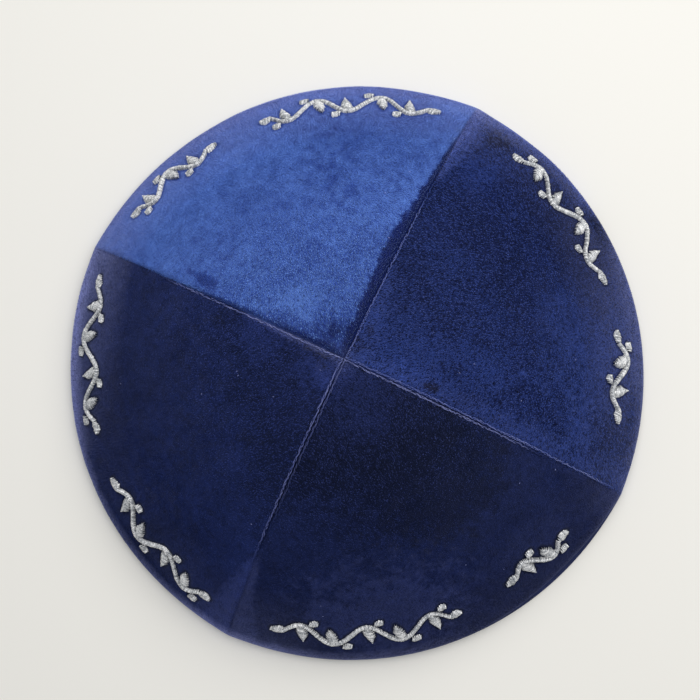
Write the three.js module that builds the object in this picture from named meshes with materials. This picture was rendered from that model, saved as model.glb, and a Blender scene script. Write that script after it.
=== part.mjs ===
// A four-gore velvet skullcap (kippah), lying rim down on a flat surface.
// Four quarter-dome panels of velvet meet in grooved seams that run from the crown's top to the rim.
// Each panel's cloth is turned under at the rim, which makes a thicker hem inside.
// Millimetres, +Z up. The origin is the middle of the rim, on the surface that the cap lies on.
// The seams lie along +X, +Y, -X and -Y. A cap like this has no front of its own: here -Y is the front.
import * as THREE from "three";

// Overall form
const RIM_RADIUS = 90; // outside, between a seam and the middle of a gore
const CROWN_HEIGHT = 52; // surface that the rim rests on, to the top of the crown
const RIM_CURL_RADIUS = 10; // arc by which the wall turns upright above the rim

// Cloth
const CLOTH_WALL = 1.8; // velvet with its pile
const HEM_WALL = 3.0; // velvet and the edge turned up behind it
const HEM_HEIGHT = 11; // from the rim up to the turned edge
const HEM_TAPER = 1.5; // height over which the turned edge thins out
const EDGE_FOLD_RADIUS = 1; // round of the fold at the rim, outside and inside

// Seams
const SEAM_GAP = 0.3; // between neighbouring gores
const SEAM_GROOVE_WIDTH = 1.8; // from the seam to where the groove ends
const SEAM_GROOVE_DEPTH = 0.7;
const SEAM_FADE_HEIGHT = 12; // the groove fades out over this height above the rim

// How far the cap departs from round: a gore is flatter across its middle, and its seams stand out as ridges.
const RIM_SQUARENESS = 0.009; // share of the radius, at the rim
const CROWN_SQUARENESS = 0.022; // share of the radius, on the crown
const SQUARE_BLEND_HEIGHT = 0.5; // share of CROWN_HEIGHT, over which the rim's squareness turns into the crown's

// Soft dents. Azimuth is in degrees from +X, and height is a share of CROWN_HEIGHT.
// Depth is a share of CLOTH_WALL, and width is a share of RIM_RADIUS.
const DENTS = [
  { azimuth: 82, height: 0.2, depth: 0.7, width: 0.1 }, // back right gore, beside the back seam
  { azimuth: -19, height: 0.05, depth: 0.6, width: 0.28 }, // front right gore, at the rim
  { azimuth: 205, height: 0.45, depth: 0.4, width: 0.25 }, // front left gore, on the side
  { azimuth: 128, height: 0.7, depth: 0.35, width: 0.2 }, // back left gore, on the upper part
];

// How finely the smooth surfaces are divided
const CROWN_STEPS = 13; // crown arc, apex to curl
const CURL_STEPS = 5; // rim curl
const FOLD_STEPS = 3; // each fold round
const HEM_STEPS = 3; // inside, up the hem
const GROOVE_STEPS = 2; // from a seam across its groove
const GORE_STEPS = 14; // across a gore, between its two grooves
const SMALLEST_TURN = 0.01; // radians between two stations of the inside

const RIGHT_ANGLE = Math.PI / 2;
const WIDEST_GROOVE_TURN = RIGHT_ANGLE / 3; // most of a gore's angle that a groove takes, close to the apex

// The outside profile is two tangent arcs: a wide one over the crown, and the curl that ends upright above the rim.
const domeHeight = CROWN_HEIGHT - EDGE_FOLD_RADIUS;
const curlCentreRadius = RIM_RADIUS - RIM_CURL_RADIUS;
const crownArcRadius =
  (curlCentreRadius ** 2 + domeHeight ** 2 - RIM_CURL_RADIUS ** 2) / (2 * (domeHeight - RIM_CURL_RADIUS));
const crownArcAngle = Math.atan2(curlCentreRadius, crownArcRadius - domeHeight);

// A point of the profile, pushed in by a depth along its normal. Slope 0 is the apex, and a right angle is upright.
function profilePoint(slope, depth) {
  const onCrown = slope <= crownArcAngle;
  const arcRadius = onCrown ? crownArcRadius : RIM_CURL_RADIUS;
  const centreRadius = onCrown ? 0 : curlCentreRadius;
  const centreHeight = onCrown ? CROWN_HEIGHT - crownArcRadius : EDGE_FOLD_RADIUS;
  return {
    radius: centreRadius + (arcRadius - depth) * Math.sin(slope),
    height: centreHeight + (arcRadius - depth) * Math.cos(slope),
    slope,
  };
}

// Slopes of the profile's stations, from the apex to the upright wall above the rim. The first station beside the
// apex is where a gore's middle leaves the grooves of both its seams.
function profileSlopes() {
  const slopes = [0, Math.asin((SEAM_GROOVE_WIDTH * Math.SQRT2) / crownArcRadius)];
  for (let i = 1; i <= CROWN_STEPS; i++) slopes.push((crownArcAngle * i) / CROWN_STEPS);
  for (let i = 1; i <= CURL_STEPS; i++) {
    slopes.push(THREE.MathUtils.lerp(crownArcAngle, RIGHT_ANGLE, i / CURL_STEPS));
  }
  return slopes;
}

// The cloth is one layer on the crown, and thickens to the hem below the turned edge.
function wallAt(height) {
  const intoHem = THREE.MathUtils.clamp((HEM_HEIGHT - height) / HEM_TAPER, 0, 1);
  return THREE.MathUtils.lerp(CLOTH_WALL, HEM_WALL, intoHem);
}

// The slope at which the outside of the wall passes a height.
function slopeAtHeight(height) {
  const crownCosine = 1 - (CROWN_HEIGHT - height) / crownArcRadius;
  if (crownCosine >= Math.cos(crownArcAngle)) return Math.acos(crownCosine);
  return Math.acos((height - EDGE_FOLD_RADIUS) / RIM_CURL_RADIUS);
}

// Slopes of the inside: those of the outside above the hem, then the turned edge's two ends and the hem.
function insideSlopes() {
  const turnedEdge = [HEM_HEIGHT, HEM_HEIGHT - HEM_TAPER].map(slopeAtHeight);
  const slopes = profileSlopes().filter((slope) => slope < turnedEdge[0] - SMALLEST_TURN);
  slopes.push(...turnedEdge);
  for (let i = 1; i <= HEM_STEPS; i++) {
    slopes.push(THREE.MathUtils.lerp(turnedEdge[1], RIGHT_ANGLE, i / HEM_STEPS));
  }
  return slopes;
}

// The closed section of the wall: down the outside, round the fold at the rim, and up the inside.
function wallSection() {
  const outside = profileSlopes().map((slope) => ({ ...profilePoint(slope, 0), outside: true }));
  const fold = [];
  const foldCentres = [RIM_RADIUS - EDGE_FOLD_RADIUS, RIM_RADIUS - HEM_WALL + EDGE_FOLD_RADIUS];
  for (const [side, centre] of foldCentres.entries()) {
    for (let i = 0; i <= FOLD_STEPS; i++) {
      const turn = RIGHT_ANGLE * (side + i / FOLD_STEPS);
      const first = side === 0 && i === 0;
      const last = side === 1 && i === FOLD_STEPS;
      if (first || last) continue; // the wall's own ends
      fold.push({
        radius: centre + EDGE_FOLD_RADIUS * Math.cos(turn),
        height: EDGE_FOLD_RADIUS - EDGE_FOLD_RADIUS * Math.sin(turn),
        slope: RIGHT_ANGLE,
      });
    }
  }
  const inside = insideSlopes()
    .map((slope) => profilePoint(slope, wallAt(profilePoint(slope, 0).height)))
    .reverse();
  return [...outside, ...fold, ...inside];
}

// +1 at a seam, -1 at the middle of a gore, on the straight side of a square between them.
function squareSide(azimuth) {
  const corner = Math.SQRT1_2;
  const across = Math.abs(azimuth % RIGHT_ANGLE) - RIGHT_ANGLE / 2;
  return (2 * (corner / Math.cos(across) - corner)) / (1 - corner) - 1;
}

// How much wider than round the cap is at an azimuth and height.
function radiusScale(azimuth, height) {
  const up = THREE.MathUtils.smoothstep(height / CROWN_HEIGHT, 0, SQUARE_BLEND_HEIGHT);
  const squareness = THREE.MathUtils.lerp(RIM_SQUARENESS, CROWN_SQUARENESS, up);
  return 1 + squareness * squareSide(azimuth);
}

// How far the seam groove presses the outside in, at a distance from the nearer seam: the cloth rolls into it.
function grooveDepth(distance, height) {
  const fade = THREE.MathUtils.smoothstep(height, 0, SEAM_FADE_HEIGHT);
  const share = Math.min(distance / SEAM_GROOVE_WIDTH, 1);
  return SEAM_GROOVE_DEPTH * fade * (1 - share) ** 2;
}

// How far the soft dents press the cloth in at a point of the cap.
function dentDepth(azimuth, radius, height) {
  const point = new THREE.Vector3().setFromCylindricalCoords(radius, azimuth, height);
  let depth = 0;
  for (const dent of DENTS) {
    const dentHeight = dent.height * CROWN_HEIGHT;
    const { radius: dentRadius } = profilePoint(slopeAtHeight(dentHeight), 0);
    const turn = THREE.MathUtils.degToRad(dent.azimuth);
    const middle = new THREE.Vector3().setFromCylindricalCoords(dentRadius, turn, dentHeight);
    const share = point.distanceTo(middle) / (dent.width * RIM_RADIUS);
    depth += dent.depth * CLOTH_WALL * Math.exp(-(share ** 2));
  }
  return depth * THREE.MathUtils.smoothstep(height, 0, EDGE_FOLD_RADIUS);
}

// Azimuths across a gore at a radius: close steps across each seam's groove, and even ones between the grooves.
function goreAzimuths(radius) {
  const grooveShare = SEAM_GROOVE_WIDTH / Math.max(radius, SEAM_GROOVE_WIDTH);
  const groove = Math.min(Math.asin(grooveShare), WIDEST_GROOVE_TURN);
  const azimuths = [];
  for (let i = 0; i < GROOVE_STEPS; i++) azimuths.push((groove * i) / GROOVE_STEPS);
  for (let i = 0; i <= GORE_STEPS; i++) {
    azimuths.push(THREE.MathUtils.lerp(groove, RIGHT_ANGLE - groove, i / GORE_STEPS));
  }
  for (let i = GROOVE_STEPS - 1; i >= 0; i--) azimuths.push(RIGHT_ANGLE - (groove * i) / GROOVE_STEPS);
  return azimuths;
}

// The corner of the gore's plan stands half a gap clear of both seam planes.
function gorePoint(sectionPoint, azimuth, firstSeam) {
  const { radius, height, slope, outside } = sectionPoint;
  const seamDistance = radius * Math.min(Math.sin(azimuth), Math.cos(azimuth));
  const pressed = (outside ? grooveDepth(seamDistance, height) : 0) + dentDepth(firstSeam + azimuth, radius, height);
  const out = (radius - pressed * Math.sin(slope)) * radiusScale(azimuth, height);
  return [
    SEAM_GAP / 2 + Math.max(out, 0) * Math.cos(azimuth),
    SEAM_GAP / 2 + Math.max(out, 0) * Math.sin(azimuth),
    height - pressed * Math.cos(slope),
  ];
}

// One gore, between the seam at azimuth 0 and the seam a right angle on. Its section is swept across the gore and
// closed at both seams. firstSeam is the azimuth at which the finished gore's own first seam lies on the cap.
function goreGeometry(firstSeam) {
  const section = wallSection();
  const columns = section.map((sectionPoint) => {
    const onAxis = sectionPoint.slope === 0;
    const azimuths = onAxis ? [0] : goreAzimuths(sectionPoint.radius);
    return azimuths.map((azimuth) => gorePoint(sectionPoint, azimuth, firstSeam));
  });
  const positions = columns.flat(2);
  const firstVertex = [];
  let count = 0;
  for (const column of columns) {
    firstVertex.push(count);
    count += column.length;
  }
  const vertexAt = (i, j) => firstVertex[i] + Math.min(j, columns[i].length - 1);
  const indices = [];
  const addTriangle = (a, b, c) => {
    if (a !== b && b !== c && c !== a) indices.push(a, b, c);
  };
  const across = GORE_STEPS + 2 * GROOVE_STEPS;
  for (let i = 0; i + 1 < section.length; i++) {
    for (let j = 0; j < across; j++) {
      addTriangle(vertexAt(i, j), vertexAt(i + 1, j), vertexAt(i + 1, j + 1));
      addTriangle(vertexAt(i, j), vertexAt(i + 1, j + 1), vertexAt(i, j + 1));
    }
  }
  for (const j of [0, across]) {
    const outline = section.map((_, i) => {
      const [x, y, z] = columns[i][Math.min(j, columns[i].length - 1)];
      return new THREE.Vector2(j === 0 ? x : y, z);
    });
    for (const [a, b, c] of THREE.ShapeUtils.triangulateShape(outline, [])) {
      const corners = [a, b, c].map((i) => vertexAt(i, j));
      if (j !== 0) corners.reverse();
      indices.push(...corners);
    }
  }
  const geometry = new THREE.BufferGeometry();
  geometry.setAttribute("position", new THREE.Float32BufferAttribute(positions, 3));
  geometry.setIndex(indices);
  geometry.computeVertexNormals();
  return geometry;
}

// The same velvet looks lighter or darker on each gore, because its nap runs down the gore.
const GORES = [
  { name: "gore_back_right", color: 0x24387f },
  { name: "gore_back_left", color: 0x3f5aa4 },
  { name: "gore_front_left", color: 0x1c2759 },
  { name: "gore_front_right", color: 0x18214a },
];

const kippah = new THREE.Group();
GORES.forEach(({ name, color }, quarter) => {
  const firstSeam = quarter * RIGHT_ANGLE;
  const material = new THREE.MeshStandardMaterial({ color, roughness: 0.95, metalness: 0 });
  const gore = new THREE.Mesh(goreGeometry(firstSeam), material);
  gore.name = name;
  gore.rotation.z = firstSeam;
  kippah.add(gore);
});

export default kippah;
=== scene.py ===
"""A kippah of blue velvet, lying crown up on a pale surface.

Each velvet gore stands for the CAD gore of its quarter. It has the same form, in a mesh fine enough for
the puckers along the seams, the turned hem and the seam allowances inside. The pile on it is one closed
spike for each tuft. Sprays of a leafy vine in satin stitch lie above the rim. Metres, +Z up, in the frame
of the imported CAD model.
"""
import math

import bpy
import numpy as np
from mathutils import Matrix, Vector, kdtree, noise


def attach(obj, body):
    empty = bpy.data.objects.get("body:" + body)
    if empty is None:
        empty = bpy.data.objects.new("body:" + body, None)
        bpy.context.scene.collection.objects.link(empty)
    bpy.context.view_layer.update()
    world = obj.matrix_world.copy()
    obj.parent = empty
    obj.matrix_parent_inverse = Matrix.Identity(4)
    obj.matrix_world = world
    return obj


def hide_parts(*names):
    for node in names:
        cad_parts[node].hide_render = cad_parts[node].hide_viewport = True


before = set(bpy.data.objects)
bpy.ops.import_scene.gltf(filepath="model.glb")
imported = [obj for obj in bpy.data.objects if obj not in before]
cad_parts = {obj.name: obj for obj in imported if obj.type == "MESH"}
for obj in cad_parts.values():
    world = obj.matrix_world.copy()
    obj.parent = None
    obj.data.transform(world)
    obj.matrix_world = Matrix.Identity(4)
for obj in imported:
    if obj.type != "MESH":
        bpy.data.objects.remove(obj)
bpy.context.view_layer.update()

MM = 0.001
RIGHT_ANGLE = math.pi / 2
TINY = 1e-9

# Form of the cap, as the CAD has it
RIM_RADIUS = 90 * MM
CROWN_HEIGHT = 52 * MM
RIM_CURL_RADIUS = 10 * MM
CLOTH_WALL = 1.8 * MM
HEM_WALL = 3.0 * MM
HEM_HEIGHT = 11 * MM
EDGE_FOLD_RADIUS = 1 * MM
SEAM_GROOVE_WIDTH = 1.8 * MM
SEAM_GROOVE_DEPTH = 0.7 * MM
SEAM_FADE_HEIGHT = 12 * MM
RIM_SQUARENESS = 0.009  # share of the radius
CROWN_SQUARENESS = 0.022
SQUARE_BLEND_HEIGHT = 0.5  # share of CROWN_HEIGHT

# Soft dents, as the CAD has them, one to a row: azimuth in degrees, height as a share of CROWN_HEIGHT,
# depth as a share of CLOTH_WALL, width as a share of RIM_RADIUS
DENTS = [
    (82, 0.2, 0.7, 0.1),
    (-19, 0.05, 0.6, 0.28),
    (205, 0.45, 0.4, 0.25),
    (128, 0.7, 0.35, 0.2),
]

# Finer form than the CAD's
SEAM_OVERLAP = 0.02 * MM  # each gore reaches this far past the seam, so that no light comes through
PUCKER_DEPTH = 0.1 * MM  # waves that the stitching draws into the cloth beside a seam
PUCKER_SPACING = 7 * MM
PUCKER_DRIFT = 3  # radians by which a wave comes early or late
PUCKER_DRIFT_REACH = 2.3 * PUCKER_SPACING
PUCKER_REACH = 6 * MM
GROUND_DEPTH = 0.5 * MM  # the woven ground under the pile, below the tips of the pile
GROUND_LUMP_HEIGHT = 0.06 * MM
GROUND_LUMP_SIZE = 1.6 * MM
SLACK_DEPTH = 0.35 * MM  # broad unevenness of limp cloth
SLACK_SIZE = 24 * MM
RIM_SMOOTH_HEIGHT = 4 * EDGE_FOLD_RADIUS  # from here down the velvet grows smooth and even
HEM_EDGE_TAPER = 0.7 * MM
ALLOWANCE_WIDTH = 6.5 * MM  # cloth folded back inside, on each side of a seam
ALLOWANCE_THICKNESS = 0.7 * MM
ALLOWANCE_TAPER = 0.9 * MM

# How finely a gore is divided, apex to rim
OUTSIDE_CELLS = 120
INSIDE_CELLS = OUTSIDE_CELLS // 2
FOLD_STEPS = 4
HEM_STATION = 0.86  # share of the inside's rows that lie above the hem's edge
HEM_ROWS = 0.02  # share of them that lie close to the edge, on each side of it
SHARP_ANGLE = math.radians(42)  # faces that turn by more than this meet in a sharp edge

# Seeds of the noise; the ragged edges of the nap take one for each of their sizes
GROUND_LUMP_SEED = 1
SLACK_SEED = 2
SWIRL_TURN_SEED = 11
SWIRL_LEAN_SEED = 12
RAGGED_SEED = 21
EDGE_FLECK_SEED = 23
NOISE_STEPS = (1, 1.7, 0.3)  # how far a seed of 1 moves the noise along each axis

# Seeds of the random draws, to which the gore's number is added
PILE_SEED = 7
STITCH_SEED = 40
THREAD_SEED = 60

# The gores, in order of azimuth. All are of one velvet, cut with the nap running another way in each.
# Their colours hold painted light and shade: the gore whose nap leans to the light is painted bright
# and the others dark. A gore's nap goes from deep through dark to light. Fleck is how much its tufts
# differ in tone. Calm is how much smoother the pile lies towards the rim than at the apex.
GORE_COLUMNS = ("name", "deep", "dark", "light", "sheen", "fleck", "calm")
GORE_ROWS = [
    ("gore_back_right",
     (0.0025, 0.005, 0.03), (0.006, 0.013, 0.074), (0.037, 0.08, 0.365), 0.1, 1.05, 0.1),
    ("gore_back_left",
     (0.004, 0.012, 0.1), (0.03, 0.07, 0.31), (0.2, 0.4, 1.0), 0.4, 0.42, 1.0),
    ("gore_front_left",
     (0.0015, 0.0035, 0.018), (0.0045, 0.009, 0.043), (0.028, 0.052, 0.245), 0.1, 0.5, 0.75),
    ("gore_front_right",
     (0.0012, 0.003, 0.015), (0.0037, 0.0073, 0.034), (0.021, 0.038, 0.175), 0.08, 0.55, 0.8),
]
GORES = [dict(zip(GORE_COLUMNS, row)) for row in GORE_ROWS]

# Camera and picture, from the photograph: the camera is almost overhead
FRAME_PX = 700
FOCAL_PX = 1519.5
SENSOR_WIDTH_MM = 36
CAMERA_DISTANCE = 450 * MM
CAMERA_TILT = math.radians(5.45)
CAMERA_FOOT_AZIMUTH = math.radians(-27.5)
PICTURE_UP_AZIMUTH = math.radians(115.36)
CAMERA_TARGET = Vector((-1.72 * MM, 3.93 * MM, 25 * MM))


# The cap's surface

DOME_HEIGHT = CROWN_HEIGHT - EDGE_FOLD_RADIUS
CURL_CENTRE_RADIUS = RIM_RADIUS - RIM_CURL_RADIUS
CROWN_ARC_RADIUS = (CURL_CENTRE_RADIUS**2 + DOME_HEIGHT**2 - RIM_CURL_RADIUS**2) / (
    2 * (DOME_HEIGHT - RIM_CURL_RADIUS)
)
CROWN_ARC_ANGLE = math.atan2(CURL_CENTRE_RADIUS, CROWN_ARC_RADIUS - DOME_HEIGHT)
CROWN_LENGTH = CROWN_ARC_RADIUS * CROWN_ARC_ANGLE
GORE_LENGTH = CROWN_LENGTH + RIM_CURL_RADIUS * (RIGHT_ANGLE - CROWN_ARC_ANGLE)


def smoothstep(x, low, high):
    t = np.clip((x - low) / (high - low), 0, 1)
    return t * t * (3 - 2 * t)


def profile(length, depth=0.0):
    """Radius, height and slope at a length down the outside from the apex, pushed in by a depth."""
    on_crown = length <= CROWN_LENGTH
    slope = np.where(
        on_crown, length / CROWN_ARC_RADIUS, CROWN_ARC_ANGLE + (length - CROWN_LENGTH) / RIM_CURL_RADIUS
    )
    arc = np.where(on_crown, CROWN_ARC_RADIUS, RIM_CURL_RADIUS) - depth
    radius = np.where(on_crown, 0, CURL_CENTRE_RADIUS) + arc * np.sin(slope)
    height = np.where(on_crown, CROWN_HEIGHT - CROWN_ARC_RADIUS, EDGE_FOLD_RADIUS) + arc * np.cos(slope)
    return radius, height, slope


def length_at_height(height):
    """Length down the outside at which it passes a height."""
    crown_cosine = 1 - (CROWN_HEIGHT - height) / CROWN_ARC_RADIUS
    if crown_cosine >= math.cos(CROWN_ARC_ANGLE):
        return math.acos(crown_cosine) * CROWN_ARC_RADIUS
    slope = math.acos((height - EDGE_FOLD_RADIUS) / RIM_CURL_RADIUS)
    return CROWN_LENGTH + (slope - CROWN_ARC_ANGLE) * RIM_CURL_RADIUS


def radius_scale(azimuth, height):
    """The seams stand out a little as ridges, and a gore is flatter across its middle."""
    corner = math.sqrt(0.5)
    across = np.mod(azimuth, RIGHT_ANGLE) - RIGHT_ANGLE / 2
    square_side = 2 * (corner / np.cos(across) - corner) / (1 - corner) - 1
    up = smoothstep(height / CROWN_HEIGHT, 0, SQUARE_BLEND_HEIGHT)
    return 1 + (RIM_SQUARENESS + (CROWN_SQUARENESS - RIM_SQUARENESS) * up) * square_side


def round_points(azimuth, radius, height):
    return np.stack([radius * np.cos(azimuth), radius * np.sin(azimuth), height + 0 * azimuth], -1)


def dent_depth(azimuth, radius, height):
    point = round_points(azimuth, radius, height)
    depth = 0
    for dent_azimuth, height_share, depth_share, width_share in DENTS:
        middle_height = height_share * CROWN_HEIGHT
        middle_radius = profile(length_at_height(middle_height))[0]
        middle = round_points(math.radians(dent_azimuth), middle_radius, middle_height)
        share = np.linalg.norm(point - middle, axis=-1) / (width_share * RIM_RADIUS)
        depth = depth + depth_share * CLOTH_WALL * np.exp(-(share**2))
    return depth * smoothstep(height, 0, EDGE_FOLD_RADIUS)


def seam_distance(azimuth, radius):
    turn = np.mod(azimuth, RIGHT_ANGLE)
    return radius * np.minimum(np.sin(turn), np.cos(turn))


def groove_depth(distance, height):
    share = np.clip(distance / SEAM_GROOVE_WIDTH, 0, 1)
    return SEAM_GROOVE_DEPTH * smoothstep(height, 0, SEAM_FADE_HEIGHT) * (1 - share) ** 2


def pucker_depth(distance, length):
    drift = PUCKER_DRIFT * np.sin(length / PUCKER_DRIFT_REACH)
    wave = np.sin(2 * math.pi * length / PUCKER_SPACING + drift)
    reach = smoothstep(distance, PUCKER_REACH, SEAM_GROOVE_WIDTH / 2)
    return PUCKER_DEPTH * reach * wave * smoothstep(length, 0, 2 * PUCKER_SPACING)


def noise_at(points, size, seed):
    """Smooth noise from -1 to 1 at each point, in lumps of a size."""
    offset = Vector([seed * step for step in NOISE_STEPS])
    flat = points.reshape(-1, 3) / size
    values = [noise.noise(Vector(p) + offset) for p in flat]
    return np.array(values).reshape(points.shape[:-1])


def relief(azimuth, length):
    """How far the seam grooves, their puckers and the cloth's slack press the velvet in."""
    radius, height, _ = profile(length)
    distance = seam_distance(azimuth, radius)
    slack = noise_at(round_points(azimuth, radius, height), SLACK_SIZE, SLACK_SEED) * SLACK_DEPTH
    slack = slack * smoothstep(distance, 0, SLACK_SIZE) * smoothstep(height, 0, RIM_SMOOTH_HEIGHT)
    return groove_depth(distance, height) + pucker_depth(distance, length) - slack


def cap_points(azimuth, length, depth=0.0, pressed=0.0):
    """Points of the cap at an azimuth and a length down from the apex, in the row's frame."""
    radius, height, slope = profile(length, depth)
    pressed = pressed + dent_depth(azimuth, radius, height)
    out = (radius - pressed * np.sin(slope)) * radius_scale(azimuth, height)
    return round_points(azimuth, out, height - pressed * np.cos(slope))


# Velvet gores


def quarter_grid(cells):
    """A square grid bent into a quarter disc: share of the radius, and turn from the first seam."""
    steps = np.arange(cells + 1) / cells
    p, q = np.meshgrid(steps, steps, indexing="ij")
    share = np.maximum(p, q)
    ratio = np.minimum(p, q) / np.maximum(share, TINY)
    turn = np.where(p >= q, ratio, 2 - ratio) * RIGHT_ANGLE / 2
    return share, turn


def grid_ring(cells):
    """Indices of a quarter grid's outer edge, from the first seam to the second."""
    side = cells + 1
    down = [cells * side + j for j in range(side)]
    back = [i * side + cells for i in range(cells - 1, -1, -1)]
    return np.array(down + back)


def outside_points(first_seam):
    share, turn = quarter_grid(OUTSIDE_CELLS)
    azimuth = first_seam + turn
    length = share * GORE_LENGTH
    height = profile(length)[1]
    rough = cap_points(azimuth, length)
    lumps = noise_at(rough, GROUND_LUMP_SIZE, GROUND_LUMP_SEED) * GROUND_LUMP_HEIGHT
    pressed = relief(azimuth, length) - lumps * smoothstep(height, 0, RIM_SMOOTH_HEIGHT)
    pressed = pressed + GROUND_DEPTH * smoothstep(height, EDGE_FOLD_RADIUS, RIM_SMOOTH_HEIGHT)
    return cap_points(azimuth, length, 0.0, pressed)


def fold_points(first_seam):
    """Rows round the folded edge at the rim, from the outside to the hem."""
    turn = quarter_grid(OUTSIDE_CELLS)[1].reshape(-1)[grid_ring(OUTSIDE_CELLS)]
    azimuth = first_seam + turn
    centres = (RIM_RADIUS - EDGE_FOLD_RADIUS, RIM_RADIUS - HEM_WALL + EDGE_FOLD_RADIUS)
    rows = []
    for side, centre in enumerate(centres):
        for step in range(1 - side, FOLD_STEPS + 1 - side):
            bend = RIGHT_ANGLE * (side + step / FOLD_STEPS)
            radius = centre + EDGE_FOLD_RADIUS * math.cos(bend)
            height = EDGE_FOLD_RADIUS * (1 - math.sin(bend))
            rows.append(round_points(azimuth, radius * radius_scale(azimuth, height), height))
    return rows


def inside_lengths(share):
    """Rows of the inside lie close together across the hem's turned edge."""
    edge = length_at_height(HEM_HEIGHT) / GORE_LENGTH
    taper = HEM_EDGE_TAPER / GORE_LENGTH
    stations = [0, HEM_STATION - HEM_ROWS, HEM_STATION + HEM_ROWS, 1]
    places = [0, edge - taper, edge + 2 * taper, 1]
    return np.interp(share, stations, places) * GORE_LENGTH


def inside_points(first_seam):
    share, turn = quarter_grid(INSIDE_CELLS)
    azimuth = first_seam + turn
    length = inside_lengths(share)
    radius = profile(length)[0]
    distance = radius * np.minimum(np.sin(turn), np.cos(turn))
    edge = length_at_height(HEM_HEIGHT)
    hem = smoothstep(length, edge, edge + HEM_EDGE_TAPER)
    allowance = smoothstep(distance, ALLOWANCE_WIDTH, ALLOWANCE_WIDTH - ALLOWANCE_TAPER) * (1 - hem)
    wall = CLOTH_WALL + (HEM_WALL - CLOTH_WALL) * hem
    wall = wall + ALLOWANCE_THICKNESS * allowance * smoothstep(length, 0, 2 * ALLOWANCE_WIDTH)
    return cap_points(azimuth, length, wall)


def grid_faces(cells, start, facing_out):
    side = cells + 1
    i, j = np.meshgrid(np.arange(cells), np.arange(cells), indexing="ij")
    a = start + i * side + j
    quads = np.stack([a, a + side, a + side + 1, a + 1], -1).reshape(-1, 4)
    return (quads if facing_out else quads[:, ::-1]).tolist()


def row_faces(above, below):
    return [[above[j], below[j], below[j + 1], above[j + 1]] for j in range(len(above) - 1)]


def two_to_one_faces(fine, coarse, flip=False):
    """Triangles from a row to one with half as many edges."""
    faces = []
    for m in range(len(coarse) - 1):
        a, b, c = fine[2 * m : 2 * m + 3]
        d, e = coarse[m : m + 2]
        faces += [[a, d, b], [b, d, e], [b, e, c]]
    return [face[::-1] for face in faces] if flip else faces


def linked_object(name, data):
    obj = bpy.data.objects.new(name, data)
    bpy.context.scene.collection.objects.link(obj)
    return obj


def mesh_object(name, points, faces, sharp_angle=None):
    mesh = bpy.data.meshes.new(name)
    faces = [[int(v) for v in face] for face in faces]
    mesh.from_pydata(np.asarray(points).reshape(-1, 3).tolist(), [], faces)
    mesh.shade_smooth()
    if sharp_angle:
        mesh.set_sharp_from_angle(angle=sharp_angle)
    return linked_object(name, mesh)


def make_gore(quarter):
    """One closed gore: outside, fold, inside, and the two cut sides that meet its neighbours."""
    first_seam = quarter * RIGHT_ANGLE
    outside = outside_points(first_seam).reshape(-1, 3)
    folds = fold_points(first_seam)
    inside = inside_points(first_seam).reshape(-1, 3)
    middle = first_seam + RIGHT_ANGLE / 2
    points = np.concatenate([outside, *folds, inside])
    points[:, :2] -= SEAM_OVERLAP * math.sqrt(2) * np.array([math.cos(middle), math.sin(middle)])

    ring_size = 2 * OUTSIDE_CELLS + 1
    rows = [grid_ring(OUTSIDE_CELLS)]
    for k in range(len(folds)):
        start = len(outside) + k * ring_size
        rows.append(np.arange(start, start + ring_size))
    inside_start = len(outside) + len(folds) * ring_size
    inside_ring = inside_start + grid_ring(INSIDE_CELLS)

    faces = grid_faces(OUTSIDE_CELLS, 0, True)
    for above, below in zip(rows, rows[1:]):
        faces += row_faces(above, below)
    faces += two_to_one_faces(rows[-1], inside_ring)
    faces += grid_faces(INSIDE_CELLS, inside_start, False)
    for end, flip in ((0, False), (-1, True)):
        outer_step = 1 if flip else OUTSIDE_CELLS + 1
        inner_step = 1 if flip else INSIDE_CELLS + 1
        outer = np.arange(OUTSIDE_CELLS + 1) * outer_step
        inner = inside_start + np.arange(INSIDE_CELLS + 1) * inner_step
        faces += two_to_one_faces(outer, inner, flip)
        edge = [inner[-1]] + [row[end] for row in reversed(rows)]
        faces.append(edge[::-1] if flip else edge)
    return mesh_object(f"velvet_{GORES[quarter]['name']}", points, faces, SHARP_ANGLE)


# Nap: where the pile is painted lighter or darker than the rest of its gore, and painted sheen on it

# Lumps that make the edges of the patches and bands ragged
RAGGED_SIZES = (3.2 * MM, 1.1 * MM)
RAGGED_SHARE = 0.5
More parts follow.
